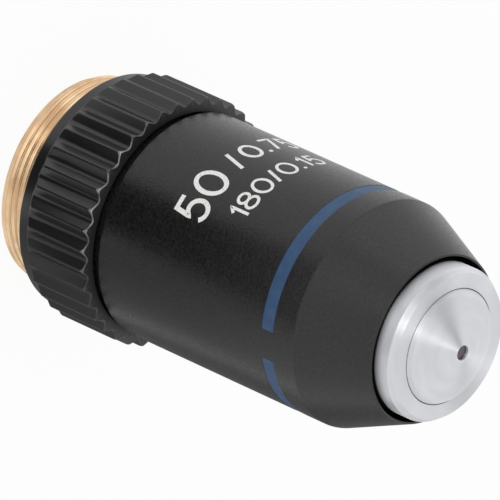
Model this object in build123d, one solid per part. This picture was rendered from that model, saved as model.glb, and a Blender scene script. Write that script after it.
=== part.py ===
from build123d import *
from math import acos, copysign, degrees, radians, sqrt, tan
import os

# Spring-loaded microscope objective, in millimetres.
# The optical axis is Z, with the nose at +Z.
# The origin is the centre of the mounting shoulder, where the objective stops on a nosepiece.
# Diameters grow outwards from the rear lens to the grip, and from the meniscus to the nose.

# Brass mount with the standard 0.8 inch by 36 turns per inch objective thread
thread_d = 20.24
thread_length = 4.13
thread_chamfer_length = 0.75
thread_chamfer_depth = 0.59
thread_wall = 2.12
seat_flange_thickness = 1.5
mount_tube_length = 6.7
mount_tube_wall = 2.02
rear_bore_depth = 5.0

# Fluted grip ring, clamped between the mount's flange and the sleeve's spigot
grip_length = 8.83
grip_collar_wall = 0.65
grip_collar_length = 1.15
grip_collar_edge_break = 0.13
grip_ridge_height = 0.64
grip_over_sleeve = 1.14
grip_front_edge_break = 0.06
grip_front_chamfer_width = 0.1
grip_front_chamfer_length = 0.2
grip_bore_chamfer = 0.28
grip_ledge_thickness = 1.2
flute_count = 38
flute_floor_over_collar = 0.02
flute_bottom_r = 0.45
ridge_tip_r = 0.12
flute_first_angle = -107.8

# Outer sleeve: spigot, narrow neck, long cylinder, cone and thin rim
neck_gap = 0.62
neck_depth = 0.55
spigot_wall = 0.7
sleeve_back_chamfer = 0.3
sleeve_cylinder_length = 24.68
sleeve_cone_length = 6.9
sleeve_corner_fillet = 0.6
sleeve_rim_wall = 0.2
sleeve_hole_land = 5.0
sleeve_inner_step_gap = 0.3

# Enamel-filled colour band, an arc that leaves one gap
band_width = 1.42
band_depth = 0.12
band_to_cone = 2.53
band_gap_centre_angle = -52.4
band_gap_angle = 15.7

# Lens barrel that slides in the mount and in the sleeve
barrel_tail_engagement = 4.2
barrel_wall = 1.95
barrel_flange_thickness = 2.5
barrel_nose_reach = 1.96
barrel_nose_chamfer_length = 0.62
barrel_nose_chamfer_depth = 0.41
barrel_face_width = 1.80
front_seam_gap = 0.09
barrel_web_thickness = 1.0
barrel_web_height = 1.3
barrel_travel = 2.0
nose_gap = 0.5

# Compression spring round the barrel's tail, and the shim in front of the flange
spring_wire_d = 1.0
spring_length = 13.1
spring_active_turns = 5.5
spring_closed_turns = 1.0
spring_closed_gap = 0.05
spring_inner_gap = 0.45
spring_outer_gap = 0.4
shim_width = 1.0
shim_thickness = 0.2

# Guide screw in the mount's tube, with its tip in a slot of the barrel's tail
guide_screw_d = 1.6
guide_screw_from_mount_front = 3.0
guide_screw_angle = 90.0
guide_tip_d = 1.1
guide_tip_reach = 0.7
guide_slot_depth = 0.9
driver_slot_width = 0.25
driver_slot_depth = 0.4

# Front cell, the bright conical nose with its window
front_cell_depth = 3.79
front_cell_wall = 2.07
front_cell_tip_height = 1.71
front_cell_bevel_height = 0.42
front_cell_bevel_depth = 0.26
front_cell_roof_depth = 1.6
front_window_lip = 0.28
front_window_depth = 0.25
front_throat_length = 0.42

# Front lens and meniscus
front_lens_d = 2.0
front_lens_edge = 0.25
meniscus_d = 4.52
meniscus_cell_wall = 1.1
meniscus_cell_length = 3.7
meniscus_cell_lip_thickness = 0.3
meniscus_thickness = 1.5
meniscus_front_r = 6.0
meniscus_rear_r = 3.4

# Middle doublet in its cell
washer_thickness = 0.3
middle_cell_length = 6.2
middle_cell_wall = 1.36
middle_cell_lip_thickness = 0.5
middle_crown_thickness = 2.6
middle_crown_front_r = 9.5
middle_joint_r = 6.2
middle_flint_thickness = 1.3
middle_flint_rear_r = 22.0

# Rear doublet in its cell
spacer_length = 2.0
spacer_wall = 1.08
rear_lens_d = 8.8
rear_cell_length = 6.4
rear_cell_wall = 1.16
rear_cell_lip_thickness = 0.5
rear_crown_thickness = 2.5
rear_crown_front_r = 13.0
rear_joint_r = 8.0
rear_flint_thickness = 1.4
rear_flint_rear_r = 30.0

# Aperture stop and lock ring behind the lenses
stop_thickness = 0.4
stop_hole_d = 5.4
lock_ring_length = 1.6
lock_ring_wall = 1.78
lock_slot_width = 1.0
lock_slot_depth = 0.6

# Clearances and overlaps, each on the radius
running_clearance = 0.03
slip_clearance = 0.05
screw_clearance = 0.03
cell_clearance = 0.02
cement_gap = 0.02
lens_seat_gap = 0.02
lens_lip_overlap = 0.4
guide_slot_clearance = 0.05
guide_end_clearance = 0.15
pick_tolerance = 0.01

# Radii of the standard thread
thread_r = thread_d / 2
rear_bore_r = thread_r - thread_wall

# Radii, from the rear lens outwards to the grip ring's ridges and back to the seat flange
rear_lens_r = rear_lens_d / 2
cell_r = rear_lens_r + cell_clearance + rear_cell_wall
middle_lens_r = cell_r - middle_cell_wall - cell_clearance
barrel_bore_r = cell_r + cell_clearance
web_bore_r = barrel_bore_r - barrel_web_height
tail_r = barrel_bore_r + barrel_wall
spring_mean_r = tail_r + spring_inner_gap + spring_wire_d / 2
spring_bore_r = spring_mean_r + spring_wire_d / 2 + spring_outer_gap
barrel_flange_r = spring_bore_r - running_clearance
sleeve_relief_r = spring_bore_r - shim_width
guide_bore_r = tail_r + running_clearance
mount_tube_r = guide_bore_r + mount_tube_wall
spigot_bore_r = mount_tube_r + slip_clearance
neck_r = spigot_bore_r + spigot_wall
sleeve_r = neck_r + neck_depth
grip_bore_r = neck_r + slip_clearance
ridge_r = sleeve_r + grip_over_sleeve
collar_r = ridge_r - grip_ridge_height
seat_flange_r = collar_r - grip_collar_wall - slip_clearance

# Radii, from the meniscus outwards to the sleeve's rim
front_lens_r = front_lens_d / 2
meniscus_r = meniscus_d / 2
meniscus_cell_r = meniscus_r + cell_clearance + meniscus_cell_wall
front_cell_bore_r = meniscus_cell_r + cell_clearance
front_cell_r = front_cell_bore_r + front_cell_wall
front_bore_r = front_cell_r + front_seam_gap
barrel_nose_r = front_bore_r + barrel_face_width
sleeve_hole_r = barrel_nose_r + nose_gap
sleeve_rim_r = sleeve_hole_r + sleeve_rim_wall

# Stations along the axis, from the shoulder forwards
ledge_front_z = seat_flange_thickness + grip_ledge_thickness
mount_front_z = seat_flange_thickness + mount_tube_length
sleeve_step_z = mount_front_z + sleeve_inner_step_gap
sleeve_back_z = grip_length + neck_gap
cone_start_z = sleeve_back_z + sleeve_cylinder_length
rim_z = cone_start_z + sleeve_cone_length
tail_end_z = mount_front_z - barrel_tail_engagement
flange_rear_z = mount_front_z + spring_length
flange_front_z = flange_rear_z + barrel_flange_thickness
stop_plane_z = flange_front_z + shim_thickness
nose_face_z = rim_z + barrel_nose_reach
tip_z = nose_face_z + front_cell_tip_height
guide_screw_z = mount_front_z - guide_screw_from_mount_front

# Stations of the lens stack, from the barrel's face backwards
window_z = tip_z - front_window_depth
web_front_z = nose_face_z - front_cell_depth
web_rear_z = web_front_z - barrel_web_thickness
middle_cell_z = web_rear_z - washer_thickness
spacer_z = middle_cell_z - middle_cell_length
rear_cell_z = spacer_z - spacer_length
stop_z = rear_cell_z - rear_cell_length
lock_ring_z = stop_z - stop_thickness
lock_ring_rear_z = lock_ring_z - lock_ring_length

STANDING = (Align.CENTER, Align.CENTER, Align.MIN)


def turned(points):
    """A solid turned about the axis from a closed outline of (radius, height) points."""
    return revolve(make_face(Plane.XZ * Polyline(*points, close=True)), Axis.Z)


def ring(outer_r, inner_r, low_z, high_z):
    """A plain turned ring between two heights."""
    return turned([(inner_r, low_z), (outer_r, low_z), (outer_r, high_z), (inner_r, high_z)])


def sag(surface_r, at_r):
    """Depth of a spherical surface at a distance from its vertex. Hollow surfaces are negative."""
    return copysign(abs(surface_r) - sqrt(surface_r * surface_r - at_r * at_r), surface_r)


def lens(vertex_z, thickness, front_r, rear_r, edge_r):
    """A lens behind its front vertex. A positive radius bulges outwards on its side."""
    rear_z = vertex_z - thickness
    half_r = edge_r / 2
    front_edge = (edge_r, vertex_z - sag(front_r, edge_r))
    rear_edge = (edge_r, rear_z + sag(rear_r, edge_r))
    front_arc = ThreePointArc((0, vertex_z), (half_r, vertex_z - sag(front_r, half_r)), front_edge)
    rear_arc = ThreePointArc(rear_edge, (half_r, rear_z + sag(rear_r, half_r)), (0, rear_z))
    outline = Curve() + [front_arc, Line(front_edge, rear_edge), rear_arc, Line((0, rear_z), (0, vertex_z))]
    return revolve(make_face(Plane.XZ * outline), Axis.Z)


def along_guide_screw(shape):
    """A shape made along Z, laid on the guide screw's radial axis."""
    return Rot(0, 0, guide_screw_angle) * Pos(0, 0, guide_screw_z) * Rot(0, 90, 0) * shape


def make_thread_mount():
    """Mount: thread, seat flange, open rear bore and the tube that guides the barrel's tail."""
    rear_bore_front_z = rear_bore_depth - thread_length
    body = turned([
        (rear_bore_r, -thread_length),
        (thread_r - thread_chamfer_depth, -thread_length),
        (thread_r, thread_chamfer_length - thread_length),
        (thread_r, 0),
        (seat_flange_r, 0),
        (seat_flange_r, seat_flange_thickness),
        (mount_tube_r, seat_flange_thickness),
        (mount_tube_r, mount_front_z),
        (guide_bore_r, mount_front_z),
        (guide_bore_r, rear_bore_front_z),
        (rear_bore_r, rear_bore_front_z),
    ])
    hole = Cylinder(guide_screw_d / 2 + screw_clearance, 2 * mount_tube_r, align=STANDING)
    return body - along_guide_screw(hole)


def flute_edges():
    """Outline of one flute and the ridge after it, where a flank is the inner tangent of its rounds."""
    half_pitch_angle = 180 / flute_count
    floor_r = collar_r + flute_floor_over_collar
    bottom_centre = Vector(floor_r + flute_bottom_r, 0)
    tip_centre = Vector(ridge_r - ridge_tip_r, 0).rotate(Axis.Z, half_pitch_angle)
    to_tip = tip_centre - bottom_centre
    lean = degrees(acos((flute_bottom_r + ridge_tip_r) / to_tip.length))
    across_flank = to_tip.normalized().rotate(Axis.Z, lean)
    foot = bottom_centre + across_flank * flute_bottom_r
    head = tip_centre - across_flank * ridge_tip_r
    foot_before = Vector(foot.X, -foot.Y)
    foot_after = foot_before.rotate(Axis.Z, 2 * half_pitch_angle)
    head_after = Vector(head.X, -head.Y).rotate(Axis.Z, 2 * half_pitch_angle)
    return [
        ThreePointArc(foot_before, Vector(floor_r, 0), foot),
        Line(foot, head),
        ThreePointArc(head, Vector(ridge_r, 0).rotate(Axis.Z, half_pitch_angle), head_after),
        Line(head_after, foot_after),
    ]


def fluted_bar():
    """Bar as long as the ring, with all flutes round it."""
    pitch_angle = 360 / flute_count
    first_angle = flute_first_angle + pitch_angle / 2
    edges = [
        Rot(0, 0, first_angle + pitch_angle * i) * edge
        for i in range(flute_count) for edge in flute_edges()
    ]
    return extrude(make_face(edges), grip_length)


def make_grip_ring():
    """Ring whose flutes run out through the chamfer behind them, with its front edge broken."""
    flange_seat_r = seat_flange_r + slip_clearance
    ledge_r = mount_tube_r + slip_clearance
    blank_r = ridge_r + grip_collar_edge_break
    front_slope = grip_front_chamfer_length / grip_front_chamfer_width
    front_flat_r = ridge_r - grip_front_chamfer_width
    blank = turned([
        (flange_seat_r, 0),
        (collar_r - grip_collar_edge_break, 0),
        (collar_r, grip_collar_edge_break),
        (collar_r, grip_collar_length),
        (blank_r, grip_collar_length + blank_r - collar_r),
        (blank_r, grip_length - front_slope * (blank_r - front_flat_r)),
        (front_flat_r, grip_length),
        (grip_bore_r + grip_bore_chamfer, grip_length),
        (grip_bore_r, grip_length - grip_bore_chamfer),
        (grip_bore_r, ledge_front_z),
        (ledge_r, ledge_front_z),
        (ledge_r, seat_flange_thickness),
        (flange_seat_r, seat_flange_thickness),
    ])
    body = blank & fluted_bar()
    front_face = body.faces().sort_by(Axis.Z)[-1]
    return chamfer(front_face.outer_wire().edges(), grip_front_edge_break)


def band_groove(outer_r):
    """The colour band's arc, from the bottom of its groove out to a radius."""
    low_z = cone_start_z - band_to_cone - band_width
    reach = 2 * sleeve_r
    half_gap = reach * tan(radians(band_gap_angle / 2))
    gap_plan = make_face(Polyline((0, 0), (reach, -half_gap), (reach, half_gap), close=True))
    gap = Rot(0, 0, band_gap_centre_angle) * extrude(gap_plan, rim_z)
    return ring(outer_r, sleeve_r - band_depth, low_z, low_z + band_width) - gap


def make_outer_sleeve():
    """Sleeve with its spigot, inner steps and the groove of the colour band."""
    body = turned([
        (spigot_bore_r, ledge_front_z),
        (neck_r, ledge_front_z),
        (neck_r, sleeve_back_z),
        (sleeve_r - sleeve_back_chamfer, sleeve_back_z),
        (sleeve_r, sleeve_back_z + sleeve_back_chamfer),
        (sleeve_r, cone_start_z),
        (sleeve_rim_r, rim_z),
        (sleeve_hole_r, rim_z),
        (sleeve_hole_r, rim_z - sleeve_hole_land),
        (sleeve_relief_r, rim_z - sleeve_hole_land),
        (sleeve_relief_r, stop_plane_z),
        (spring_bore_r, stop_plane_z),
        (spring_bore_r, sleeve_step_z),
        (spigot_bore_r, sleeve_step_z),
    ])
    corner = [edge for edge in body.edges() if abs(edge.center().Z - cone_start_z) < pick_tolerance]
    return fillet(corner, sleeve_corner_fillet) - band_groove(sleeve_r + band_depth)


def make_colour_band():
    """Enamel that fills the groove almost flush with the sleeve."""
    return band_groove(sleeve_r - cement_gap)


def make_lens_barrel():
    """Barrel: slotted tail in the mount, flange on the spring and bright nose out of the sleeve."""
    body = turned([
        (barrel_bore_r, tail_end_z),
        (tail_r, tail_end_z),
        (tail_r, flange_rear_z),
        (barrel_flange_r, flange_rear_z),
        (barrel_flange_r, flange_front_z),
        (barrel_nose_r, flange_front_z),
        (barrel_nose_r, nose_face_z - barrel_nose_chamfer_length),
        (barrel_nose_r - barrel_nose_chamfer_depth, nose_face_z),
        (front_bore_r, nose_face_z),
        (front_bore_r, web_front_z),
        (web_bore_r, web_front_z),
        (web_bore_r, web_rear_z),
        (barrel_bore_r, web_rear_z),
    ])
    slot_end_z = guide_screw_z + guide_tip_d / 2 + barrel_travel + guide_end_clearance
    slot_width = guide_tip_d + 2 * guide_slot_clearance
    slot = Box(
        barrel_wall, slot_width, slot_end_z - tail_end_z, align=(Align.MIN, Align.CENTER, Align.MAX)
    )
    return body - Rot(0, 0, guide_screw_angle) * Pos(tail_r - guide_slot_depth, 0, slot_end_z) * slot


def make_guide_screw():
    """Grub screw with a driver slot outside and a plain tip in the tail's slot."""
    tip_low = tail_r - guide_tip_reach
    body_low = guide_bore_r + slip_clearance
    body_high = mount_tube_r - slip_clearance
    tip = Pos(0, 0, tip_low) * Cylinder(guide_tip_d / 2, body_low - tip_low, align=STANDING)
    body = Pos(0, 0, body_low) * Cylinder(guide_screw_d / 2, body_high - body_low, align=STANDING)
    driver_slot = Pos(0, 0, body_high) * Box(2 * guide_screw_d, driver_slot_width, 2 * driver_slot_depth)
    return along_guide_screw(tip + body - driver_slot)


def make_spring():
    """Compression spring with closed ends, ground flat on the mount and on the flange."""
    closed_pitch = spring_wire_d + spring_closed_gap
    closed_length = closed_pitch * spring_closed_turns
    active_length = spring_length - 2 * closed_length
    to_active = Pos(0, 0, closed_length) * Rot(0, 0, 360 * spring_closed_turns)
    to_far_end = to_active * Pos(0, 0, active_length) * Rot(0, 0, 360 * spring_active_turns)
    closed_coil = Helix(closed_pitch, closed_length, spring_mean_r)
    active_coil = Helix(active_length / spring_active_turns, active_length, spring_mean_r)
    coils = [closed_coil, to_active * active_coil, to_far_end * closed_coil]
    path = Wire([edge for coil in coils for edge in coil.edges()])
    section = Plane(origin=path @ 0, z_dir=path % 0) * Circle(spring_wire_d / 2)
    wire = sweep(section, path=path, transition=Transition.TRANSFORMED)
    between_seats = Cylinder(spring_bore_r, spring_length, align=STANDING)
    return Pos(0, 0, mount_front_z) * (wire & between_seats)


def make_front_cell():
    """Very flat cone with a bevelled edge, a window at its tip and a bore for the meniscus cell."""
    lens_seat_r = front_lens_r + cell_clearance
    return turned([
        (front_cell_bore_r, web_front_z),
        (front_cell_r, web_front_z),
        (front_cell_r, nose_face_z),
        (front_cell_r - front_cell_bevel_depth, nose_face_z + front_cell_bevel_height),
        (front_lens_r - front_window_lip, tip_z),
        (front_lens_r - front_window_lip, window_z),
        (lens_seat_r, window_z),
        (lens_seat_r, window_z - front_throat_length),
        (front_cell_bore_r, tip_z - front_cell_roof_depth),
    ])


def make_front_lens():
    """Hemisphere with its flat face behind the window."""
    centre_z = window_z - front_lens_edge
    dome_z = centre_z - front_lens_r
    diagonal = front_lens_r / sqrt(2)
    dome = ThreePointArc((front_lens_r, centre_z), (diagonal, centre_z - diagonal), (0, dome_z))
    flat = Line((0, window_z), (front_lens_r, window_z))
    outline = Curve() + [flat, Line((front_lens_r, window_z), (front_lens_r, centre_z)), dome,
                         Line((0, dome_z), (0, window_z))]
    return revolve(make_face(Plane.XZ * outline), Axis.Z)


def lens_cell(outer_r, lens_r, front_z, rear_z, lip_thickness):
    """Cell with a lip in front of the lens that is set into it from behind."""
    seat_r = lens_r + cell_clearance
    lip_r = lens_r - lens_lip_overlap
    lip_rear_z = front_z - lip_thickness
    return turned([
        (seat_r, rear_z),
        (outer_r, rear_z),
        (outer_r, front_z),
        (lip_r, front_z),
        (lip_r, lip_rear_z),
        (seat_r, lip_rear_z),
    ])


def make_meniscus():
    """The meniscus cell and its lens, hollow side to the front."""
    cell_z = web_front_z + meniscus_cell_length
    cell = lens_cell(meniscus_cell_r, meniscus_r, cell_z, web_front_z, meniscus_cell_lip_thickness)
    vertex_z = cell_z - meniscus_cell_lip_thickness - lens_seat_gap - sag(meniscus_front_r, meniscus_r)
    glass = lens(vertex_z, meniscus_thickness, -meniscus_front_r, meniscus_rear_r, meniscus_r)
    return cell, glass


def make_doublet(front_z, length, lens_r, lip_thickness, crown_thickness, crown_front_r, joint_r,
                 flint_thickness, flint_rear_r):
    """A cell with its two cemented lenses, the crown lens resting on the cell's lip."""
    cell = lens_cell(cell_r, lens_r, front_z, front_z - length, lip_thickness)
    lip_rear_z = front_z - lip_thickness
    crown_z = lip_rear_z + sag(crown_front_r, lens_r - lens_lip_overlap) - lens_seat_gap
    crown = lens(crown_z, crown_thickness, crown_front_r, joint_r, lens_r)
    flint_z = crown_z - crown_thickness - cement_gap
    flint = lens(flint_z, flint_thickness, -joint_r, flint_rear_r, lens_r)
    return cell, crown, flint


def make_lock_ring():
    """Threaded ring that clamps the lens stack, with two spanner slots behind."""
    body = ring(cell_r, cell_r - lock_ring_wall, lock_ring_rear_z, lock_ring_z)
    return body - Pos(0, 0, lock_ring_rear_z) * Box(2 * barrel_bore_r, lock_slot_width, 2 * lock_slot_depth)


def build_nodes():
    """Every separate piece of the objective, by the name of its node."""
    meniscus_cell, meniscus_lens = make_meniscus()
    middle_cell, middle_crown, middle_flint = make_doublet(
        middle_cell_z, middle_cell_length, middle_lens_r, middle_cell_lip_thickness, middle_crown_thickness,
        middle_crown_front_r, middle_joint_r, middle_flint_thickness, middle_flint_rear_r
    )
    rear_cell, rear_crown, rear_flint = make_doublet(
        rear_cell_z, rear_cell_length, rear_lens_r, rear_cell_lip_thickness, rear_crown_thickness,
        rear_crown_front_r, rear_joint_r, rear_flint_thickness, rear_flint_rear_r
    )
    return {
        "thread_mount": make_thread_mount(),
        "grip_ring": make_grip_ring(),
        "outer_sleeve": make_outer_sleeve(),
        "colour_band": make_colour_band(),
        "guide_screw": make_guide_screw(),
        "coil_spring": make_spring(),
        "parfocal_shim": ring(spring_bore_r - slip_clearance, sleeve_relief_r, flange_front_z, stop_plane_z),
        "lens_barrel": make_lens_barrel(),
        "front_cell": make_front_cell(),
        "front_lens": make_front_lens(),
        "meniscus_cell": meniscus_cell,
        "meniscus_lens": meniscus_lens,
        "adjusting_washer": ring(cell_r, web_bore_r, middle_cell_z, web_rear_z),
        "middle_cell": middle_cell,
        "middle_crown_lens": middle_crown,
        "middle_flint_lens": middle_flint,
        "spacer_ring": ring(cell_r, cell_r - spacer_wall, rear_cell_z, spacer_z),
        "rear_cell": rear_cell,
        "rear_crown_lens": rear_crown,
        "rear_flint_lens": rear_flint,
        "aperture_stop": ring(cell_r, stop_hole_d / 2, lock_ring_z, stop_z),
        "lens_lock_ring": make_lock_ring(),
    }


os.makedirs("parts", exist_ok=True)
for name, solid in build_nodes().items():
    export_step(solid, f"parts/{name}.step")
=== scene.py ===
from math import acos, atan2, cos, pi, radians, sin, tau

import bmesh
import bpy
from mathutils import Matrix, Vector


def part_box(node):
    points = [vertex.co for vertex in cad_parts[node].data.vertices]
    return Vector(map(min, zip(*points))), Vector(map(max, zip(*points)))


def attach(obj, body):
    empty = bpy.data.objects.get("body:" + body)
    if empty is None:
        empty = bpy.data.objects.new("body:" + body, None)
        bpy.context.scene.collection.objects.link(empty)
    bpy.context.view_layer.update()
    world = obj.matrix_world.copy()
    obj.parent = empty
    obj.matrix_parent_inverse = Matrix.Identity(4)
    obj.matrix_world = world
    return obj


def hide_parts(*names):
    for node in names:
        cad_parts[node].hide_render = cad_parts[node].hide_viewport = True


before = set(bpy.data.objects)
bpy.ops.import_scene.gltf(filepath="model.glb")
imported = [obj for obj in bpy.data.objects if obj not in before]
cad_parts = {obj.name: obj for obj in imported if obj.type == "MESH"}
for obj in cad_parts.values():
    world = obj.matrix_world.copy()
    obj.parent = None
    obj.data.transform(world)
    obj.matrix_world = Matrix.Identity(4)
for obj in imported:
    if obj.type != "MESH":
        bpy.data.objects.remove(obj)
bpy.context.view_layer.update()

# Camera
# The objective is seen from in front and above, with the camera rolled so that the nose points
# to the lower right. A long lens from about a metre away keeps the perspective almost flat.
MM = 0.001
camera_aim = Vector((-0.527, 0, 17.99)) * MM
camera_distance = 1043.5 * MM
camera_elevation = radians(37.9)
camera_roll = radians(114.4)
sensor_width = 36
focal_length = 828.9

camera = bpy.data.objects.new("camera", bpy.data.cameras.new("camera"))
camera.data.sensor_width = sensor_width
camera.data.lens = focal_length
turn = Matrix.Rotation(pi / 2 - camera_elevation, 4, "X") @ Matrix.Rotation(camera_roll, 4, "Z")
camera.matrix_world = Matrix.Translation(camera_aim) @ turn
camera.location = camera_aim + camera_distance * Vector((0, -cos(camera_elevation), sin(camera_elevation)))
bpy.context.scene.collection.objects.link(camera)
bpy.context.scene.camera = camera
bpy.context.scene.view_settings.view_transform = "Standard"


# Brass mount
# The mount is turned from brass and lacquered. The microscope's thread is cut on its outside,
# 36 turns to the inch, and a plain strip is left next to the shoulder.
def rounded(corners, segments=3):
    """An outline in mm whose corners (radius, height, rounding) are replaced by small arcs."""
    points = []
    for index, corner in enumerate(corners):
        here = Vector(corner[:2])
        if len(corner) == 2:
            points.append(here)
            continue
        back = (Vector(corners[index - 1][:2]) - here).normalized()
        ahead = (Vector(corners[(index + 1) % len(corners)][:2]) - here).normalized()
        half_angle = back.angle(ahead) / 2
        centre = here + (back + ahead).normalized() * corner[2] / sin(half_angle)
        start = here + back * corner[2] * cos(half_angle) / sin(half_angle) - centre
        end = here + ahead * corner[2] * cos(half_angle) / sin(half_angle) - centre
        swing = end.angle_signed(start)
        for step in range(segments + 1):
            points.append(centre + Matrix.Rotation(swing * step / segments, 2) @ start)
    return points


def divided(points, low, high, step):
    """The outline with extra points wherever an edge runs between two heights."""
    result = []
    for index, point in enumerate(points):
        result.append(point)
        after = points[(index + 1) % len(points)]
        if min(point.y, after.y) >= low and max(point.y, after.y) <= high:
            pieces = max(1, round(abs(after.y - point.y) / step))
            result += [point.lerp(after, piece / pieces) for piece in range(1, pieces)]
    return result


def finished(name, vertices, faces):
    """A mesh object from points in mm, merged and with outward faces."""
    mesh = bpy.data.meshes.new(name)
    mesh.from_pydata([Vector(vertex) * MM for vertex in vertices], [], faces)
    shape = bmesh.new()
    shape.from_mesh(mesh)
    bmesh.ops.remove_doubles(shape, verts=shape.verts, dist=0.0002 * MM)
    bmesh.ops.dissolve_degenerate(shape, edges=shape.edges, dist=0.0001 * MM)
    bmesh.ops.recalc_face_normals(shape, faces=shape.faces)
    shape.to_mesh(mesh)
    shape.free()
    piece = bpy.data.objects.new(name, mesh)
    bpy.context.scene.collection.objects.link(piece)
    return piece


def skin(columns, count, closed=True):
    """Faces between neighbouring columns of points, where each column is an outline of count points."""
    faces = []
    for column in range(columns if closed else columns - 1):
        here, after = column * count, (column + 1) % columns * count
        for index in range(count):
            following = (index + 1) % count
            faces.append((here + index, after + index, after + following, here + following))
    return faces


def turned(name, outline, steps=256):
    """A piece turned about the axis from a closed outline in mm."""
    vertices = [
        (point.x * cos(tau * turn / steps), point.x * sin(tau * turn / steps), point.y)
        for turn in range(steps) for point in outline
    ]
    return finished(name, vertices, skin(steps, len(outline)))


def put(tree, kind, inputs=None, **settings):
    """Adds a node with its settings. Each input is set to a value or joined to a node's output."""
    node = tree.nodes.new(kind)
    for name, value in settings.items():
        setattr(node, name, value)
    for name, value in (inputs or {}).items():
        if isinstance(value, bpy.types.NodeSocket):
            tree.links.new(value, node.inputs[name])
        else:
            node.inputs[name].default_value = value
    return node


def calculate(tree, operation, *values):
    """The output of one arithmetic node."""
    return put(tree, "ShaderNodeMath", dict(enumerate(values)), operation=operation).outputs[0]


def mixed(tree, share, first, second):
    """A colour that goes from the first to the second with the share."""
    node = put(tree, "ShaderNodeMix", {0: share, 6: first, 7: second}, data_type="RGBA")
    return node.outputs[2]


def between(tree, value, low, high, to_low=0.0, to_high=1.0):
    """A value moved from one range to another, and held at its ends."""
    inputs = {"Value": value, "From Min": low, "From Max": high, "To Min": to_low, "To Max": to_high}
    return put(tree, "ShaderNodeMapRange", inputs).outputs["Result"]


def millimetres(tree, across=1.0, along=1.0):
    """Object coordinates in mm, stretched across and along the axis."""
    place = put(tree, "ShaderNodeTexCoord").outputs["Object"]
    scale = (across / MM, across / MM, along / MM)
    return put(tree, "ShaderNodeMapping", {"Vector": place, "Scale": scale}).outputs["Vector"]


def noise(tree, place, scale, detail=2.0, roughness=0.5):
    """A noise texture's value."""
    inputs = {"Vector": place, "Scale": scale, "Detail": detail, "Roughness": roughness}
    return put(tree, "ShaderNodeTexNoise", inputs).outputs["Fac"]


def bumped(tree, height, distance, strength=1.0):
    """A normal from a height, where the height 1 is the distance in mm."""
    inputs = {"Height": height, "Distance": distance * MM, "Strength": strength}
    return put(tree, "ShaderNodeBump", inputs).outputs["Normal"]


def new_material(name, **shader):
    """A material, its tree and its shader, whose sockets are set under their names in lower case."""
    material = bpy.data.materials.new(name)
    material.use_nodes = True
    tree = material.node_tree
    surface = tree.nodes["Principled BSDF"]
    for socket, value in shader.items():
        words = socket.replace("_", " ").title().replace("Ior", "IOR")
        surface.inputs[words].default_value = value
    return material, tree, surface


def join(tree, output, surface, socket):
    tree.links.new(output, surface.inputs[socket])


def sized_tree(name, sizes):
    """A Geometry Nodes tree with a geometry input, named size inputs and a geometry output."""
    tree = bpy.data.node_groups.new(name, "GeometryNodeTree")
    tree.interface.new_socket("Geometry", in_out="INPUT", socket_type="NodeSocketGeometry")
    tree.interface.new_socket("Geometry", in_out="OUTPUT", socket_type="NodeSocketGeometry")
    for size, kind in sizes.items():
        tree.interface.new_socket(size, in_out="INPUT", socket_type=kind)
    tree.interface.new_socket("Finish", in_out="INPUT", socket_type="NodeSocketMaterial")
    return tree, put(tree, "NodeGroupInput").outputs


def close_tree(tree, geometry, finish):
    """Ends a tree with real geometry that has its material."""
    real = put(tree, "GeometryNodeRealizeInstances", {"Geometry": geometry}).outputs[0]
    coated = put(tree, "GeometryNodeSetMaterial", {"Geometry": real, "Material": finish}).outputs[0]
    put(tree, "NodeGroupOutput", {"Geometry": coated})


def keep_result(piece):
    """Replaces a piece's mesh with what its modifiers make of it."""
    bpy.context.view_layer.update()
    evaluated = piece.evaluated_get(bpy.context.evaluated_depsgraph_get())
    mesh = bpy.data.meshes.new_from_object(evaluated)
    piece.modifiers.clear()
    piece.data = mesh


def grow(piece, tree, values):
    """Runs a tree on a piece with its inputs set, and keeps the result as a plain mesh."""
    modifier = piece.modifiers.new(tree.name, "NODES")
    modifier.node_group = tree
    for item in tree.interface.items_tree:
        if item.in_out == "INPUT" and item.name in values:
            modifier[item.identifier] = values[item.name]
    keep_result(piece)


def smooth(piece, sharp_angle=35):
    """Smooth shading between sharp edges, where large faces stay flat and small ones look rounded."""
    piece.data.shade_smooth()
    piece.data.set_sharp_from_angle(angle=radians(sharp_angle))
    weighting = piece.modifiers.new("flat_large_faces", "WEIGHTED_NORMAL")
    weighting.keep_sharp = True
    keep_result(piece)


mount_low, mount_high = (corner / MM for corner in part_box("thread_mount"))
thread_end = mount_low.z
thread_end_edge = 0.08
end_margin = 0.1
flange_edge = 0.05
tube_edge = 0.1
steps_per_turn = 14
thread_r = 10.12
thread_end_r = 9.53
thread_start = -3.38
plain_strip = 0.35
thread_pitch = 25.4 / 36
thread_depth = 0.2
flange_r = mount_high.x
flange_front = 1.5
tube_r = 9.6
tube_front = mount_high.z
guide_r = 7.58
rear_bore_r = 8.0
rear_bore_front = 0.87

brass, tree, surface = new_material(
    "lacquered_brass", metallic=1.0, roughness=0.2, coat_weight=0.25, coat_roughness=0.08
)
turning = noise(tree, millimetres(tree, across=0.12, along=9.0), 1.0, detail=3.0)
tint = noise(tree, millimetres(tree, across=0.35, along=0.5), 1.0)
pale_brass = (0.84, 0.61, 0.37, 1)
deep_brass = (0.60, 0.38, 0.21, 1)
join(tree, mixed(tree, between(tree, tint, 0.35, 0.65), pale_brass, deep_brass), surface, "Base Color")
join(tree, between(tree, turning, 0.3, 0.7, 0.2, 0.27), surface, "Roughness")
join(tree, bumped(tree, turning, 0.001), surface, "Normal")

mount_outline = divided(rounded([
    (rear_bore_r, thread_end, thread_end_edge),
    (thread_end_r, thread_end, thread_end_edge),
    (thread_r, thread_start),
    (thread_r, 0),
    (flange_r, 0, flange_edge),
    (flange_r, flange_front),
    (tube_r, flange_front),
    (tube_r, tube_front, tube_edge),
    (guide_r, tube_front, tube_edge),
    (guide_r, rear_bore_front),
    (rear_bore_r, rear_bore_front),
]), thread_end, 0, thread_pitch / steps_per_turn)

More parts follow.
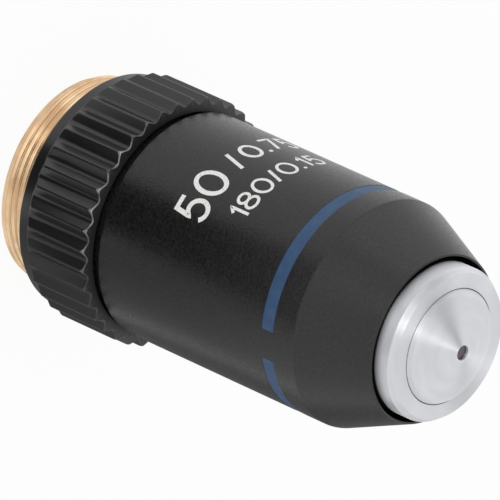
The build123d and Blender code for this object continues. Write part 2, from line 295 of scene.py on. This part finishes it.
# The thread's turns: each point near the outside moves in by a wave that follows the helix, with
# narrow crests and broad round roots.
turns, given = sized_tree("thread_turns", {
    "Pitch": "NodeSocketFloat",
    "Depth": "NodeSocketFloat",
    "Root Radius": "NodeSocketFloat",
    "Front": "NodeSocketFloat",
})
spot = put(turns, "GeometryNodeInputPosition").outputs[0]
point = put(turns, "ShaderNodeSeparateXYZ", {0: spot}).outputs
squares = [calculate(turns, "MULTIPLY", point[side], point[side]) for side in (0, 1)]
reach = calculate(turns, "SQRT", calculate(turns, "ADD", *squares))
around = calculate(turns, "DIVIDE", calculate(turns, "ARCTAN2", point[1], point[0]), tau)
phase = calculate(turns, "SUBTRACT", calculate(turns, "DIVIDE", point[2], given["Pitch"]), around)
wave = calculate(turns, "PINGPONG", phase, 0.5)
rise = calculate(turns, "SUBTRACT", 1, between(turns, wave, 0.05, 0.5))
groove = calculate(turns, "SUBTRACT", 1, calculate(turns, "MULTIPLY", rise, rise))
outside = calculate(turns, "GREATER_THAN", reach, given["Root Radius"])
behind = calculate(turns, "LESS_THAN", point[2], given["Front"])
cut = calculate(turns, "MULTIPLY", calculate(turns, "MULTIPLY", outside, behind), groove)
shrink = calculate(turns, "DIVIDE", calculate(turns, "MULTIPLY", cut, given["Depth"]), reach)
change = calculate(turns, "MULTIPLY", shrink, -1)
inward = put(turns, "ShaderNodeCombineXYZ", {
    side: calculate(turns, "MULTIPLY", point[side], change) for side in (0, 1)
}).outputs[0]
moved = put(turns, "GeometryNodeSetPosition", {"Geometry": given["Geometry"], "Offset": inward}).outputs[0]
close_tree(turns, moved, given["Finish"])

mount = turned("threaded_mount", mount_outline)
grow(mount, turns, {
    "Pitch": thread_pitch * MM,
    "Depth": thread_depth * MM,
    "Root Radius": (thread_end_r - end_margin) * MM,
    "Front": -plain_strip * MM,
    "Finish": brass,
})
smooth(mount, sharp_angle=50)
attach(mount, "housing")
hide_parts("thread_mount")


# Grip ring
# The ring that the fingers turn is aluminium, milled with round-bottomed flutes and anodised
# glossy black. The flutes run out through the chamfer behind them. The edges of their front ends
# are painted as bright bare aluminium, partly as wear and partly as a painted glint that is
# strongest on the side towards the front lamps; a thin painted highlight runs round the collar's edge.
grip_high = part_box("grip_ring")[1] / MM
flute_count = 38
ridge_first = radians(-107.8)
ridge_r = 12.04
collar_r = 11.4
floor_r = 11.42
flute_bottom_r = 0.45
ridge_tip_r = 0.2
collar_break = 0.13
collar_length = 1.15
front_chamfer_width = 0.1
front_chamfer_length = 0.24
front_break = 0.08
break_steps = 4
# The width of the edge lines, and how strongly the collar's edge and the middle of the front break are
# painted bright: painted highlight lines, partly wear.
edge_line_width = 0.05
collar_line_glint = 0.8
break_middle_glint = 0.5
bore_chamfer = 0.28
grip_bore_r = 10.4
ledge_front = 2.7
slip = 0.05

half_pitch = pi / flute_count
bottom_centre = Vector((floor_r + flute_bottom_r, 0))
tip_centre = Vector((cos(half_pitch), sin(half_pitch))) * (ridge_r - ridge_tip_r)


def flute_plan(bottom_steps=10, flank_steps=3, tip_steps=5):
    """Points and outward directions of one flute in plan, from the middle of a ridge to the next."""
    between_centres = tip_centre - bottom_centre
    lean = acos((flute_bottom_r + ridge_tip_r) / between_centres.length)
    across_angle = atan2(between_centres.y, between_centres.x) + lean
    across = Vector((cos(across_angle), sin(across_angle)))
    foot = bottom_centre + across * flute_bottom_r
    head = tip_centre - across * ridge_tip_r
    half = []
    for step in range(bottom_steps + 1):
        angle = pi + (across_angle - pi) * step / bottom_steps
        way = Vector((cos(angle), sin(angle)))
        half.append((bottom_centre + way * flute_bottom_r, -way))
    for step in range(1, flank_steps + 1):
        half.append((foot.lerp(head, step / flank_steps), -across))
    for step in range(1, tip_steps + 1):
        angle = across_angle - pi + (half_pitch - across_angle + pi) * step / tip_steps
        way = Vector((cos(angle), sin(angle)))
        half.append((tip_centre + way * ridge_tip_r, way))
    mirrored = [(Vector((spot.x, -spot.y)), Vector((way.x, -way.y))) for spot, way in half[:0:-1]]
    return mirrored + half


def front_height(radius):
    """Height of the ring's front, which is flat and falls off in a narrow chamfer at the ridges."""
    beyond = max(0, radius - (ridge_r - front_chamfer_width))
    return grip_high.z - beyond * front_chamfer_length / front_chamfer_width


def ring_section(spot, way):
    """One closed section of the ring through a point of the plan, as (x, y, height, wear and painted
    glint).
    """
    along = spot.normalized()
    wall = spot.length
    climb = min(edge_line_width, wall - collar_r)
    wall_back = collar_length + wall - collar_r
    wall_front = front_height(wall) - front_break
    seat_r = flange_r + slip
    ledge_r = tube_r + slip
    section = [(along * radius, height, wear_and_glint) for radius, height, wear_and_glint in (
        (seat_r, 0, 0),
        (collar_r - collar_break, 0, 0),
        (collar_r, collar_break, 0),
        (collar_r, collar_length - edge_line_width, 0),
        (collar_r, collar_length, collar_line_glint),
        (collar_r + climb, collar_length + edge_line_width, 0),
        (wall - climb / 2, max(wall_back - climb / 2, collar_length + 1.2 * edge_line_width), 0),
        (wall, wall_back + 2 * edge_line_width, 0),
        (wall, wall_front - edge_line_width, 0),
    )]
    for step in range(break_steps):
        share = step / (break_steps - 1)
        angle = pi / 2 * share
        place = spot - way * front_break * (1 - cos(angle))
        rise = front_break * sin(angle)
        height = wall_front + rise + (front_height(place.length) - front_height(wall)) * share
        section.append((place, height, 1.0 if share in (0, 1) else break_middle_glint))
    flat_r = min((spot - way * front_break).length, ridge_r - front_chamfer_width) - edge_line_width
    section += [(along * radius, height, 0) for radius, height in (
        (flat_r, grip_high.z),
        (grip_bore_r + bore_chamfer, grip_high.z),
        (grip_bore_r, grip_high.z - bore_chamfer),
        (grip_bore_r, ledge_front),
        (ledge_r, ledge_front),
        (ledge_r, flange_front),
        (seat_r, flange_front),
    )]
    return [(place.x, place.y, height, wear_and_glint) for place, height, wear_and_glint in section]


def flute_strip():
    """One flute with the ring behind it, as a strip of faces that the tree repeats."""
    sections = [ring_section(spot, way) for spot, way in flute_plan()]
    points = [point for section in sections for point in section]
    mesh = bpy.data.meshes.new("flute")
    faces = skin(len(sections), len(sections[0]), closed=False)
    mesh.from_pydata([Vector(point[:3]) * MM for point in points], [], faces)
    # The points keep how strongly each edge is painted as bare metal and painted glint.
    wear_and_glint = mesh.attributes.new("wear_and_glint_edge", "FLOAT", "POINT")
    wear_and_glint.data.foreach_set("value", [point[3] for point in points])
    strip = bpy.data.objects.new("fluted_ring", mesh)
    bpy.context.scene.collection.objects.link(strip)
    return strip


gloss_black, tree, surface = new_material("glossy_anodising", ior=1.55, anisotropic_rotation=0.25)
edge_wear_and_glint = put(tree, "ShaderNodeAttribute", attribute_name="wear_and_glint_edge").outputs["Fac"]
patches = noise(tree, millimetres(tree), 1.1, detail=3.0)
place = put(tree, "ShaderNodeSeparateXYZ", {0: millimetres(tree)}).outputs
# Across this band of y the bright edges grow towards the side facing the front lamps, a painted glint
# placed by where the light falls.
glint_side_faint, glint_side_full = -8.5, -11.2
glint_side = between(tree, place[1], glint_side_faint, glint_side_full, 0.12, 1.0)
bare_and_glint = calculate(tree, "MULTIPLY", between(tree, edge_wear_and_glint, 0.35, 0.9), between(tree, patches, 0.35, 0.6))
bare_and_glint = calculate(tree, "MULTIPLY", bare_and_glint, glint_side)
black = (0.0095, 0.0095, 0.0105, 1)
# The bare metal colour of the painted glint and wear on the edges.
bare_glint_aluminium = (0.5, 0.5, 0.51, 1)
join(tree, mixed(tree, bare_and_glint, black, bare_glint_aluminium), surface, "Base Color")
join(tree, calculate(tree, "MULTIPLY", bare_and_glint, 0.7), surface, "Metallic")
milling = noise(tree, millimetres(tree, across=6.0, along=0.5), 1.0)
facing = put(tree, "ShaderNodeNewGeometry").outputs["Normal"]
upright = put(tree, "ShaderNodeSeparateXYZ", {0: facing}).outputs[2]
faced = between(tree, upright, 0.9, 0.95)
join(tree, calculate(tree, "MULTIPLY", faced, 0.85), surface, "Anisotropic")
flank_roughness = between(tree, milling, 0.3, 0.7, 0.32, 0.38)
face_roughness = calculate(tree, "MULTIPLY", faced, 0.4)
join(tree, calculate(tree, "MAXIMUM", flank_roughness, face_roughness), surface, "Roughness")
join(tree, put(tree, "ShaderNodeTangent", direction_type="RADIAL", axis="Z").outputs[0], surface, "Tangent")
join(tree, bumped(tree, noise(tree, millimetres(tree), 5.0), 0.002), surface, "Normal")

# One flute is repeated round the axis.
flutes, given = sized_tree("repeated_flutes", {"Count": "NodeSocketInt", "First Angle": "NodeSocketFloat"})
places = put(flutes, "GeometryNodePoints", {"Count": given["Count"]}).outputs[0]
number = put(flutes, "GeometryNodeInputIndex").outputs[0]
share = calculate(flutes, "DIVIDE", number, given["Count"])
swing = calculate(flutes, "ADD", calculate(flutes, "MULTIPLY", share, tau), given["First Angle"])
rotation = put(flutes, "ShaderNodeCombineXYZ", {2: swing}).outputs[0]
copies = put(flutes, "GeometryNodeInstanceOnPoints", {
    "Points": places, "Instance": given["Geometry"], "Rotation": rotation,
}).outputs[0]
real = put(flutes, "GeometryNodeRealizeInstances", {"Geometry": copies}).outputs[0]
welded = put(flutes, "GeometryNodeMergeByDistance", {"Geometry": real, "Distance": 0.0005 * MM}).outputs[0]
close_tree(flutes, welded, given["Finish"])

grip = flute_strip()
grow(grip, flutes, {
    "Count": flute_count,
    "First Angle": ridge_first + half_pitch,
    "Finish": gloss_black,
})
smooth(grip, sharp_angle=40)
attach(grip, "housing")
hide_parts("grip_ring")


# Outer sleeve
# The sleeve is turned from aluminium, bead-blasted and anodised black, which leaves a fine dull
# grain. Its spigot screws over the mount's tube, and its front end is a cone with a thin rim.
sleeve_low, sleeve_high = (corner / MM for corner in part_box("outer_sleeve"))
sleeve_r = sleeve_high.x
neck_r = 10.35
sleeve_back = 9.45
sleeve_back_chamfer = 0.3
back_edge = 0.05
back_shoulder = 0.1
cone_blend = 0.6
rim_edge = 0.05
cone_start = 34.13
rim_z = sleeve_high.z
rim_r = 8.06
hole_r = 7.86
hole_land = 5.0
relief_r = 8.4
stop_z = 24.0
spring_bore_r = 9.4
step_z = 8.5
spigot_bore_r = 9.65
band_low, band_high = (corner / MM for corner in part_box("colour_band"))
band_depth = 0.12
band_gap_centre = radians(-52.4)
band_gap_half = radians(15.7 / 2)

blasted_black, tree, surface = new_material("blasted_anodising", ior=1.5)
grain = noise(tree, millimetres(tree), 5.0, detail=2.0, roughness=0.6)
speckle = noise(tree, millimetres(tree), 3.2, detail=2.0)
dull_black = (0.0042, 0.004, 0.0045, 1)
dull_grey = (0.018, 0.0172, 0.0185, 1)
join(tree, mixed(tree, between(tree, grain, 0.42, 0.78), dull_black, dull_grey), surface, "Base Color")
join(tree, between(tree, speckle, 0.3, 0.7, 0.26, 0.36), surface, "Roughness")
join(tree, bumped(tree, grain, 0.022), surface, "Normal")

sleeve_outline = rounded([
    (spigot_bore_r, sleeve_low.z),
    (neck_r, sleeve_low.z),
    (neck_r, sleeve_back),
    (sleeve_r - sleeve_back_chamfer, sleeve_back, back_edge),
    (sleeve_r, sleeve_back + sleeve_back_chamfer, back_shoulder),
    (sleeve_r, band_low.z),
    (sleeve_r, band_low.z),
    (sleeve_r, band_high.z),
    (sleeve_r, band_high.z),
    (sleeve_r, cone_start, cone_blend),
    (rim_r, rim_z, rim_edge),
    (hole_r, rim_z, rim_edge),
    (hole_r, rim_z - hole_land),
    (relief_r, rim_z - hole_land),
    (relief_r, stop_z),
    (spring_bore_r, stop_z),
    (spring_bore_r, step_z),
    (spigot_bore_r, step_z),
], segments=5)


def grooved_sleeve(steps=320):
    """The sleeve's outline turned about the axis, with the band's groove left out of one gap."""
    lows = [i for i, spot in enumerate(sleeve_outline) if spot == Vector((sleeve_r, band_low.z))]
    highs = [i for i, spot in enumerate(sleeve_outline) if spot == Vector((sleeve_r, band_high.z))]
    in_groove = (lows[1], highs[0])
    gap_edges = [band_gap_centre - band_gap_half, band_gap_centre + band_gap_half]
    arc = tau - 2 * band_gap_half
    arc_steps = round(steps * arc / tau)
    angles = [(gap_edges[1] + arc * step / arc_steps, True) for step in range(arc_steps + 1)]
    gap_steps = steps - arc_steps
    gap = 2 * band_gap_half
    angles += [(gap_edges[0] + gap * step / gap_steps, False) for step in range(gap_steps + 1)]
    vertices = []
    for angle, grooved in angles:
        for index, spot in enumerate(sleeve_outline):
            radius = spot.x - band_depth if grooved and index in in_groove else spot.x
            vertices.append((radius * cos(angle), radius * sin(angle), spot.y))
    return finished("blasted_sleeve", vertices, skin(len(angles), len(sleeve_outline)))


sleeve = grooved_sleeve()
sleeve.data.materials.append(blasted_black)
smooth(sleeve)
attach(sleeve, "housing")
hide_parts("outer_sleeve")


# Colour band
# Blue enamel is run into a shallow groove and dries dull and almost flush. The groove stops
# short of a full turn, so that one plain gap is left.
def refinish(material, *nodes):
    """Gives CAD nodes a material in place of their plain one."""
    for node in nodes:
        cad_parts[node].data.materials.clear()
        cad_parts[node].data.materials.append(material)


band_blue, tree, surface = new_material("blue_enamel", roughness=0.5)
flow = noise(tree, millimetres(tree), 1.2, detail=3.0)
deep_blue = (0.017, 0.058, 0.145, 1)
light_blue = (0.027, 0.078, 0.175, 1)
join(tree, mixed(tree, between(tree, flow, 0.3, 0.7), deep_blue, light_blue), surface, "Base Color")
join(tree, bumped(tree, noise(tree, millimetres(tree), 6.0), 0.012), surface, "Normal")
refinish(band_blue, "colour_band")


# Printed numbers
# White ink is pad-printed on the sleeve and baked, in two lines of plain numbers with even strokes.
# It stands about a hundredth of a millimetre off the black.
ink_top = 0.012
ink_bottom = -0.004
second_stroke_lift = 0.002
ink_step = 0.12
mitre_limit = 1.6
dot_share = 0.6
sign_gap = 0.8


def oval(middle_x, middle_y, wide, high, start=0, end=360, steps=40):
    """Points of an upright oval's arc, counted anticlockwise in degrees."""
    return [
        Vector((middle_x + wide * cos(radians(angle)), middle_y + high * sin(radians(angle))))
        for angle in (start + (end - start) * step / steps for step in range(steps + 1))
    ]


def line(*corners):
    return [Vector(corner) for corner in corners]


# Each sign is one or two strokes in a box of height 1 and width 1, with its real width after it.
signs = {
    "0": ([oval(0.5, 0.5, 0.5, 0.5, 90, 450)], 0.72),
    "1": ([line((0, 0.74), (1, 1), (1, 0))], 0.3),
    "5": ([line((0.9, 1), (0.2, 1), (0.08, 0.5)) + oval(0.5, 0.32, 0.5, 0.32, 128, -148)], 0.64),
    "7": ([line((0, 1), (1, 1), (0.3, 0))], 0.62),
    "8": ([oval(0.5, 0.76, 0.42, 0.24, 90, 450), oval(0.5, 0.26, 0.5, 0.26, 90, 450)], 0.66),
    "/": ([line((0, 0), (1, 1))], 0.36),
    ".": ([oval(0.5, 0.5, 0.5, 0.5, 90, 450)], 0.0),
}


def stroke_sides(path, closed, half_width):
    """The path's points, each with the mitred offset to its left."""
    sides = []
    for index, point in enumerate(path):
        before = path[index - 1] if index or closed else None
        after = path[(index + 1) % len(path)] if index < len(path) - 1 or closed else None
        ahead = (after - point).normalized() if after else (point - before).normalized()
        behind = (point - before).normalized() if before else ahead
        left = Vector((-ahead.y - behind.y, ahead.x + behind.x)).normalized()
        slant = left.dot(Vector((-ahead.y, ahead.x)))
        sides.append((point, left * half_width / max(slant, 1 / mitre_limit)))
    return sides


def cut_up(path, closed):
    """The path with long straight runs divided, so that the ink follows the round sleeve."""
    result = []
    for here, after in zip(path, path[1:] + path[:1] if closed else path[1:]):
        pieces = max(1, round((after - here).length / ink_step))
        result += [here.lerp(after, piece / pieces) for piece in range(pieces)]
    return result if closed else result + [path[-1]]


def sign_path(sign, path, left, width, height, stroke):
    """A stroke's line at its place in the run, and half of the ink's width on it."""
    corner = Vector((left + stroke / 2, stroke / 2))
    if sign == ".":
        middle = Vector((0.5, 0.5))
        return [corner + (spot - middle) * stroke * dot_share for spot in path], stroke * dot_share / 2
    wide, tall = width - stroke, height - stroke
    return [corner + Vector((spot.x * wide, spot.y * tall)) for spot in path], stroke / 2


def printed(text, start_azimuth, end_azimuth, top, bottom, stroke):
    """Vertices and faces of one run of signs that fills its place on the sleeve."""
    height = bottom - top
    length = radians(start_azimuth - end_azimuth) * sleeve_r
    widths = [max(signs[sign][1] * height, stroke) for sign in text]
    gap = stroke * sign_gap
    stretch = (length - gap * (len(text) - 1)) / sum(widths)
    vertices, faces, left = [], [], 0.0
    for sign, width in zip(text, widths):
        for number, path in enumerate(signs[sign][0]):
            closed = (path[0] - path[-1]).length < ink_step / 100
            placed, half_width = sign_path(sign, path, left, width * stretch, height, stroke)
            placed = cut_up(placed[:-1] if closed else placed, closed)
            lift = ink_top + number * second_stroke_lift
            first = len(vertices)
            for point, side in stroke_sides(placed, closed, half_width):
                for spot, over in (
                    (point + side, ink_bottom), (point - side, ink_bottom),
                    (point - side, lift), (point + side, lift),
                ):
                    azimuth = radians(start_azimuth) - spot.x / sleeve_r
                    radius = sleeve_r + over
                    vertices.append((radius * cos(azimuth), radius * sin(azimuth), bottom - spot.y))
            sides = skin(len(placed), 4, closed)
            if not closed:
                last = 4 * (len(placed) - 1)
                sides += [(0, 1, 2, 3), (last + 3, last + 2, last + 1, last)]
            faces += [tuple(first + index for index in face) for face in sides]
        left += width * stretch + gap
    return vertices, faces


# Each run of signs with its first and last azimuth, its top, its bottom and its stroke's width.
ink_vertices, ink_faces = [], []
for run in (
    ("50", -93.5, -122, 16.6, 20.4, 0.47),
    ("/", -128.7, -134.2, 17.0, 20.1, 0.36),
    ("0.75", -137.6, -172, 17.2, 19.9, 0.36),
    ("180/0.15", -104.8, -165, 22.0, 24.4, 0.3),
):
    vertices, faces = printed(*run)
    ink_faces += [tuple(index + len(ink_vertices) for index in face) for face in faces]
    ink_vertices += vertices
numbers = finished("printed_numbers", ink_vertices, ink_faces)

white_ink, tree, surface = new_material("white_ink", specular_ior_level=0.3)
screen = noise(tree, millimetres(tree), 6.0, detail=3.0)
thin_ink = (0.62, 0.61, 0.6, 1)
full_ink = (0.88, 0.87, 0.86, 1)
join(tree, mixed(tree, between(tree, screen, 0.3, 0.5), thin_ink, full_ink), surface, "Base Color")
join(tree, between(tree, screen, 0.3, 0.7, 0.45, 0.6), surface, "Roughness")
numbers.data.materials.append(white_ink)
smooth(numbers)
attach(numbers, "housing")


# Lens barrel
# The barrel is turned from bright nickel-plated brass. Only its nose shows, with a chamfered
# edge and a flat face whose fine turning marks run round the axis. Below the nose, in the gap
# inside the sleeve's rim, its colour is painted black as painted shade.
# Below this height the barrel's colour is painted black, as painted shade in the gap under the sleeve's
# rim.
painted_shade_top = 40.95
painted_shade_fade = 0.2
bright_metal, tree, surface = new_material(
    "turned_nickel", metallic=1.0, anisotropic=0.95, anisotropic_rotation=0.25
)
fine_turning = noise(tree, millimetres(tree, across=0.3, along=5.0), 1.0, detail=3.0)
silver = (0.73, 0.74, 0.77, 1)
grey_silver = (0.69, 0.70, 0.73, 1)
# The black of the painted shade in that gap.
painted_shade_black = (0.03, 0.03, 0.03, 1)
height = put(tree, "ShaderNodeSeparateXYZ", {0: millimetres(tree)}).outputs[2]
turned_plating = mixed(tree, between(tree, fine_turning, 0.3, 0.7), silver, grey_silver)
above_painted_shade = between(tree, height, painted_shade_top - painted_shade_fade, painted_shade_top)
join(tree, mixed(tree, above_painted_shade, painted_shade_black, turned_plating), surface, "Base Color")
join(tree, between(tree, fine_turning, 0.3, 0.7, 0.38, 0.42), surface, "Roughness")
tangent = put(tree, "ShaderNodeTangent", direction_type="RADIAL", axis="Z").outputs[0]
join(tree, tangent, surface, "Tangent")
refinish(bright_metal, "lens_barrel", "front_cell")


# Lenses
# The lenses are polished optical glass, cemented or clamped in their cells. Only the tiny front
# lens shows, in the window at the tip; its glass is given a dark, half-clear colour as painted
# shade for the dark inside of the objective behind it.
for name, clarity, colour, nodes in (
    ("clear_glass", 1.0, (0.9, 0.92, 0.9, 1), (
        "meniscus_lens", "middle_crown_lens", "middle_flint_lens", "rear_crown_lens", "rear_flint_lens",
    )),
    # The front lens's dark brownish colour is painted shade.
    ("painted_shade_window_glass", 0.35, (0.1, 0.07, 0.07, 1), ("front_lens",)),
):
    glass, tree, surface = new_material(name, base_color=colour, transmission_weight=clarity, ior=1.6)
    haze = noise(tree, millimetres(tree), 0.8)
    join(tree, between(tree, haze, 0.5, 0.9, 0.0, 0.04), surface, "Roughness")
    refinish(glass, *nodes)


# Inner metal pieces
# The cells, washer and shim are plain turned brass, and the stop, the spacer and the lock ring
# are blackened against stray light. The spring and the guide screw are steel.
cell_brass, tree, surface = new_material("plain_brass", metallic=1.0)
cut_marks = noise(tree, millimetres(tree, across=0.1, along=12.0), 1.0)
yellow_brass = (0.62, 0.43, 0.2, 1)
dull_brass = (0.5, 0.34, 0.16, 1)
join(tree, mixed(tree, cut_marks, yellow_brass, dull_brass), surface, "Base Color")
join(tree, between(tree, cut_marks, 0.3, 0.7, 0.3, 0.42), surface, "Roughness")
refinish(cell_brass, "parfocal_shim", "meniscus_cell", "adjusting_washer", "middle_cell", "rear_cell")

stop_black, tree, surface = new_material("matt_black")
dye = noise(tree, millimetres(tree), 3.0)
deep_dye = (0.01, 0.01, 0.01, 1)
thin_dye = (0.02, 0.02, 0.02, 1)
join(tree, mixed(tree, dye, deep_dye, thin_dye), surface, "Base Color")
join(tree, between(tree, dye, 0.3, 0.7, 0.6, 0.75), surface, "Roughness")
refinish(stop_black, "spacer_ring", "aperture_stop", "lens_lock_ring")

for name, node, tone in (("spring_wire", "coil_spring", 0.5), ("screw_steel", "guide_screw", 0.4)):
    steel, tree, surface = new_material(name, metallic=1.0)
    drawing = noise(tree, millimetres(tree, across=2.0, along=10.0), 1.0)
    light, dark = (tone, tone, tone * 1.02, 1), (tone * 0.8, tone * 0.8, tone * 0.82, 1)
    join(tree, mixed(tree, drawing, light, dark), surface, "Base Color")
    join(tree, between(tree, drawing, 0.3, 0.7, 0.25, 0.4), surface, "Roughness")
    refinish(steel, node)


# Floor and studio
# A plain white table under an even white surround, with four soft lamps. Dark and grey cards that
# only show in reflections lie round the objective, and one hangs over it.
def only_seen(tree):
    """1 for camera, glossy and transmission rays, which see the white background, else 0."""
    path = put(tree, "ShaderNodeLightPath").outputs
    return calculate(tree, "MAXIMUM", calculate(
        tree, "MAXIMUM", path["Is Camera Ray"], path["Is Glossy Ray"]), path["Is Transmission Ray"])


world = bpy.data.worlds.new("studio")
bpy.context.scene.world = world
world.use_nodes = True
tree = world.node_tree
surround = tree.nodes["Background"]
white_share = only_seen(tree)
join(tree, mixed(tree, white_share, (0.8, 0.8, 0.8, 1), (1, 1, 1, 1)), surround, "Color")

floor_half = 3.0
floor_z = (thread_end - 0.01) * MM
bpy.ops.mesh.primitive_plane_add(size=2 * floor_half, location=(0, 0, floor_z))
floor = bpy.context.object
floor.name = "floor"
table, tree, surface = new_material("white_table", base_color=(0.86, 0.86, 0.86, 1), roughness=0.9)
glow = put(tree, "ShaderNodeEmission", {"Color": (1, 1, 1, 1), "Strength": 1.0}).outputs[0]
share = calculate(tree, "MULTIPLY", only_seen(tree), 0.94)
blend = put(tree, "ShaderNodeMixShader", {0: share, 1: surface.outputs[0], 2: glow}).outputs[0]
join(tree, blend, tree.nodes["Material Output"], "Surface")
floor.data.materials.append(table)


def soft_lamp(name, azimuth, elevation, distance, width, height, radiance):
    """A rectangular soft lamp that faces the objective."""
    data = bpy.data.lights.new(name, "AREA")
    data.shape = "RECTANGLE"
    data.size, data.size_y = width, height
    data.energy = radiance * pi * width * height
    lamp = bpy.data.objects.new(name, data)
    round_angle, rise_angle = radians(azimuth), radians(elevation)
    level = Vector((cos(round_angle), sin(round_angle), 0)) * cos(rise_angle)
    direction = level + Vector((0, 0, sin(rise_angle)))
    lamp.location = camera_aim + direction * distance
    lamp.rotation_euler = direction.to_track_quat("Z", "Y").to_euler()
    lamp.visible_camera = False
    bpy.context.scene.collection.objects.link(lamp)


soft_lamp("front_lamp", -105, 27, 0.3, 0.16, 0.16, 0.5)
soft_lamp("high_lamp", -90, 60, 0.4, 0.09, 0.09, 5.0)
soft_lamp("left_lamp", -165, 4, 0.3, 0.3, 0.12, 0.5)
soft_lamp("rear_lamp", 145, 0, 0.3, 0.2, 0.1, 0.4)


def card(name, corners, shade):
    """A plain card that is only seen in reflections and through the lenses. Corners are in mm."""
    mesh = bpy.data.meshes.new(name)
    mesh.from_pydata([Vector(corner) * MM for corner in corners], [], [range(len(corners))])
    piece = bpy.data.objects.new(name, mesh)
    bpy.context.scene.collection.objects.link(piece)
    piece.visible_camera = False
    piece.visible_diffuse = False
    piece.visible_shadow = False
    grey = (shade, shade, shade, 1)
    finish = new_material(name, base_color=grey, roughness=1.0, specular_ior_level=0.0)[0]
    piece.data.materials.append(finish)


card("high_card", [(-90, -90, 290), (-90, 70, 290), (-230, 70, 170), (-230, -90, 170)], 0.15)
# The other cards lie on the table, each a little over the one below.
strip_start, strip_end = 60, 90
for name, height, shade, corners in (
    ("right_card", 0.03, 0.6, ((9, -12.5), (36, -51), (61, 12), (13, 2))),
    ("front_card", 0.05, 0.02, ((-2, -13), (4, -13), (44, -58), (-21, -62))),
    ("side_card", 0.05, 0.28, ((12, 2), (220, 100), (20, 220), (2, 12))),
    # The black card under the objective's foot is painted shade, standing in for the table in its shadow,
    # seen in reflections and through the lenses.
    ("painted_shade_under_card", 0.05, 0.01, ((-7, -7), (7, -7), (7, 7), (-7, 7))),
):
    card(name, [(x, y, thread_end + height) for x, y in corners], shade)
strip_height = 0.1
for name, azimuth, half_angle, shade in (("left_strip", -110, 3, 0.1), ("right_strip", -50, 3.5, 0.35)):
    low, high = radians(azimuth - half_angle), radians(azimuth + half_angle)
    ends = ((strip_start, low), (strip_start, high), (strip_end, high), (strip_end, low))
    corners = [(reach * cos(side), reach * sin(side), thread_end + strip_height) for reach, side in ends]
    card(name, corners, shade)
